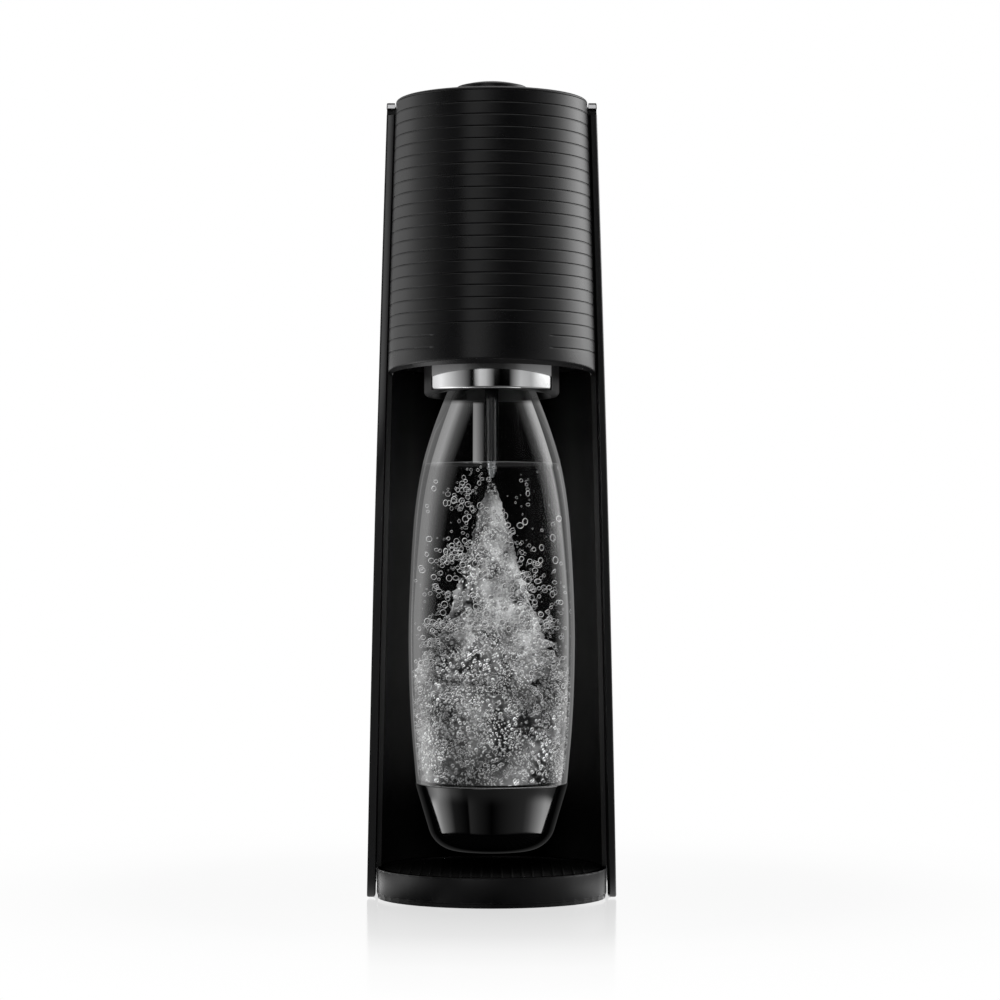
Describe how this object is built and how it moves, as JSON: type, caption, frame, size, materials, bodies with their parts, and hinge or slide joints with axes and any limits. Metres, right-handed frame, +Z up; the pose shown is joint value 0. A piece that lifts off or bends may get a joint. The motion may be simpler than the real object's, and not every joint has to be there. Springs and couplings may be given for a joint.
{
  "type": "soda carbonator",
  "caption": "Slim upright counter-top carbonator: grooved round head with a press button, tilting collar with a chrome band, clear bottle in an open bay, round drip base.",
  "frame": {"origin": "centre of the object's bounding box in plan, at counter level", "axes": "+Z up, the front faces -Y, +X is to the right as seen from the front"},
  "size_m": [0.1282, 0.1819, 0.4206],
  "materials": {
    "body_black": "satin",
    "head_black": "satin",
    "base_black": "satin",
    "inner_black": "matte",
    "mat_black": "matte",
    "foot_rubber": "matte",
    "button_black": "satin",
    "holder_black": "satin",
    "bottle_base_black": "gloss",
    "chrome": "polished",
    "bottle_clear": "gloss",
    "steel": "satin",
    "aluminium": "satin",
    "cylinder_metal": "satin",
    "brass": "satin",
    "chassis_grey": "matte",
    "valve_grey": "satin",
    "nozzle_grey": "satin",
    "seal_red": "matte",
    "seal_grey": "matte",
    "hose_clear": "satin"
  },
  "bodies": {
    "housing": {"base_plinth": "base_black", "drip_mat": "mat_black", "bottom_plate": "base_black", "feet": "foot_rubber", "base_screws": "steel", "cylinder_seat": "foot_rubber", "left_side_panel": "body_black", "right_side_panel": "body_black", "rear_cover_catch": "inner_black", "top_deck": "body_black", "cavity_wall": "inner_black", "head_cover": "head_black", "top_cover": "head_black", "head_chassis": "inner_black", "head_screws": "steel", "button_guide": "inner_black", "button_spring": "steel", "actuator_pin": "steel", "chassis_frame": "chassis_grey", "chassis_screws": "steel", "valve_housing": "valve_grey", "valve_screws": "steel", "valve_seal": "seal_red", "lever_pins": "steel", "pivot_pins": "steel", "rotary_fitting": "brass", "gas_hose": "hose_clear", "hose_fitting": "brass"},
    "button": {"button": "button_black"},
    "actuator_arm": {"actuator_arm": "aluminium"},
    "lever": {"quick_connect_lever": "steel"},
    "cylinder": {"co2_cylinder": "cylinder_metal", "cylinder_valve": "brass", "cylinder_collar": "cylinder_metal"},
    "valve_pin": {"valve_pin": "steel"},
    "holder": {"bottle_holder": "holder_black", "chrome_band": "chrome", "neck_clamp": "inner_black", "carbonation_block": "valve_grey", "bottle_seal": "seal_grey", "nozzle_tube": "nozzle_grey", "nozzle_tip": "steel", "relief_valve": "brass", "burst_disc_plug": "brass", "link_hose": "hose_clear"},
    "bottle": {"bottle_shell": "bottle_clear", "bottle_base": "bottle_base_black"},
    "rear_cover": {"rear_cover": "body_black"}
  },
  "joints": [
    {"name": "button_press", "type": "slide", "parent": "housing", "child": "button", "axis": [0, 0, -1], "range_m": [0, 0.008], "stiffness_N_per_m": 400, "springref_m": -0.006, "deforming": ["button_spring"]},
    {"name": "arm_swing", "type": "hinge", "parent": "housing", "child": "actuator_arm", "pos_m": [0, 0.064, 0.3835], "axis": [1, 0, 0], "range_deg": [0, 4.5]},
    {"name": "lever_lift", "type": "hinge", "parent": "housing", "child": "lever", "pos_m": [0, 0.0515, 0.362], "axis": [1, 0, 0], "range_deg": [0, 64]},
    {"name": "cylinder_drop", "type": "slide", "parent": "housing", "child": "cylinder", "axis": [0, 0, -1], "range_m": [0, 0.005]},
    {"name": "valve_pin_push", "type": "slide", "parent": "cylinder", "child": "valve_pin", "axis": [0, 0, -1], "range_m": [0, 0.001]},
    {"name": "holder_tilt", "type": "hinge", "parent": "housing", "child": "holder", "pos_m": [0, -0.036, 0.287], "axis": [-1, 0, 0], "range_deg": [0, 20]},
    {"name": "bottle_release", "type": "slide", "parent": "holder", "child": "bottle", "axis": [0, 0, -1], "range_m": [0, 0.007]},
    {"name": "rear_cover_off", "type": "slide", "parent": "housing", "child": "rear_cover", "axis": [0, 1, 0], "range_m": [0, 0.12]}
  ],
  "couplings": [
    {"joint": "arm_swing", "follows": "button_press", "rad_per_m": 9.5238},
    {"joint": "valve_pin_push", "follows": "button_press", "ratio": 0.11905},
    {"joint": "lever_lift", "follows": "cylinder_drop", "rad_per_m": 223.3}
  ]
}
